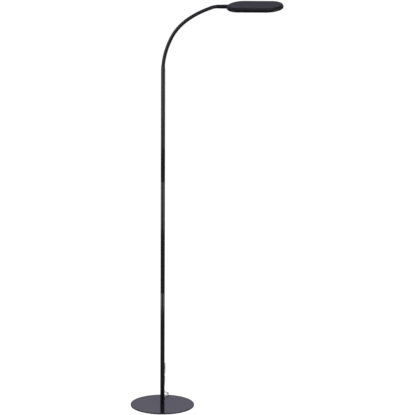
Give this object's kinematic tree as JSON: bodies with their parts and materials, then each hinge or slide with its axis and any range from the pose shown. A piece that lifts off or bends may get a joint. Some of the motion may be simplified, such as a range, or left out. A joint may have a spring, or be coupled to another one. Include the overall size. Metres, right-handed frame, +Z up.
{
  "type": "gooseneck reading floor lamp",
  "caption": "Floor lamp with a flat round base, a slim straight pole, a bendable gooseneck and a flat rounded LED head, with a clear mains cord.",
  "frame": {"origin": "centre of the base pad's underside, where the lamp stands on the floor", "axes": "+Z up along the pole, +X towards the head that the gooseneck reaches over"},
  "size_m": [0.5385, 0.5048, 1.489],
  "materials": {
    "pad_foam": "fine closed-cell foam",
    "black_lacquer": "gloss black lacquer",
    "pole_lacquer": "satin black lacquer",
    "head_lacquer": "satin black powder coat",
    "zinc_steel": "zinc plated",
    "hose_steel": "wound steel",
    "sleeve_pvc": "smooth satin sleeve",
    "inner_cable": "matt",
    "black_plastic": "matt",
    "bush_nylon": "natural",
    "clear_pvc": "clear, glossy",
    "nickel_brass": "nickel plated",
    "opal_acrylic": "opal, satin",
    "white_plastic": "matt white",
    "board_white": "white solder mask",
    "led_phosphor": "yellow phosphor"
  },
  "bodies": {
    "stand": {"base_pad": "pad_foam", "base_plate": "black_lacquer", "base_bolt": "zinc_steel", "pole_foot_insert": "zinc_steel", "pole_lower": "pole_lacquer", "pole_middle": "pole_lacquer", "pole_upper": "pole_lacquer", "pole_coupling_lower": "zinc_steel", "pole_coupling_upper": "zinc_steel", "driver_module": "black_plastic", "feed_cable": "inner_cable", "pole_cable": "inner_cable", "swivel_bush": "bush_nylon", "cord_boot": "clear_pvc", "mains_cord": "clear_pvc", "cord_hank": "clear_pvc", "hank_tie": "black_plastic", "cord_tail": "clear_pvc", "plug_body": "clear_pvc", "plug_pins": "nickel_brass"},
    "swivel": {"neck_ferrule": "pole_lacquer", "neck_retainer": "zinc_steel", "hose_1": "hose_steel", "sleeve_1": "sleeve_pvc", "neck_cable_1": "inner_cable"},
    "link_2": {"hose_2": "hose_steel", "sleeve_2": "sleeve_pvc", "neck_cable_2": "inner_cable"},
    "link_3": {"hose_3": "hose_steel", "sleeve_3": "sleeve_pvc", "neck_cable_3": "inner_cable"},
    "link_4": {"hose_4": "hose_steel", "sleeve_4": "sleeve_pvc", "neck_cable_4": "inner_cable"},
    "link_5": {"hose_5": "hose_steel", "sleeve_5": "sleeve_pvc", "neck_cable_5": "inner_cable"},
    "link_6": {"hose_6": "hose_steel", "sleeve_6": "sleeve_pvc", "neck_cable_6": "inner_cable"},
    "head": {"hose_7": "hose_steel", "sleeve_7": "sleeve_pvc", "neck_cable_7": "inner_cable", "stem": "pole_lacquer", "stem_nut": "zinc_steel", "head_cable": "inner_cable", "head_shell": "head_lacquer", "head_frame": "head_lacquer", "diffuser": "opal_acrylic", "reflector": "white_plastic", "led_board": "board_white", "leds": "led_phosphor", "touch_sensor": "black_plastic"}
  },
  "joints": [
    {"name": "neck_swing", "type": "hinge", "parent": "stand", "child": "swivel", "pos_m": [0, 0, 1.217], "axis": [0, 0, 1], "range_deg": [-90, 90]},
    {"name": "neck_bend_1", "type": "hinge", "parent": "swivel", "child": "link_2", "pos_m": [0.01084, 0, 1.29069], "axis": [0, 1, 0], "range_deg": [-14, 16]},
    {"name": "neck_bend_2", "type": "hinge", "parent": "link_2", "child": "link_3", "pos_m": [0.02832, 0, 1.33589], "axis": [0, 1, 0], "range_deg": [-14, 16]},
    {"name": "neck_bend_3", "type": "hinge", "parent": "link_3", "child": "link_4", "pos_m": [0.05442, 0, 1.37661], "axis": [0, 1, 0], "range_deg": [-14, 16]},
    {"name": "neck_bend_4", "type": "hinge", "parent": "link_4", "child": "link_5", "pos_m": [0.08919, 0, 1.4103], "axis": [0, 1, 0], "range_deg": [-14, 16]},
    {"name": "neck_bend_5", "type": "hinge", "parent": "link_5", "child": "link_6", "pos_m": [0.12943, 0, 1.43729], "axis": [0, 1, 0], "range_deg": [-14, 16]},
    {"name": "neck_bend_6", "type": "hinge", "parent": "link_6", "child": "head", "pos_m": [0.17277, 0, 1.459], "axis": [0, 1, 0], "range_deg": [-14, 16]}
  ]
}
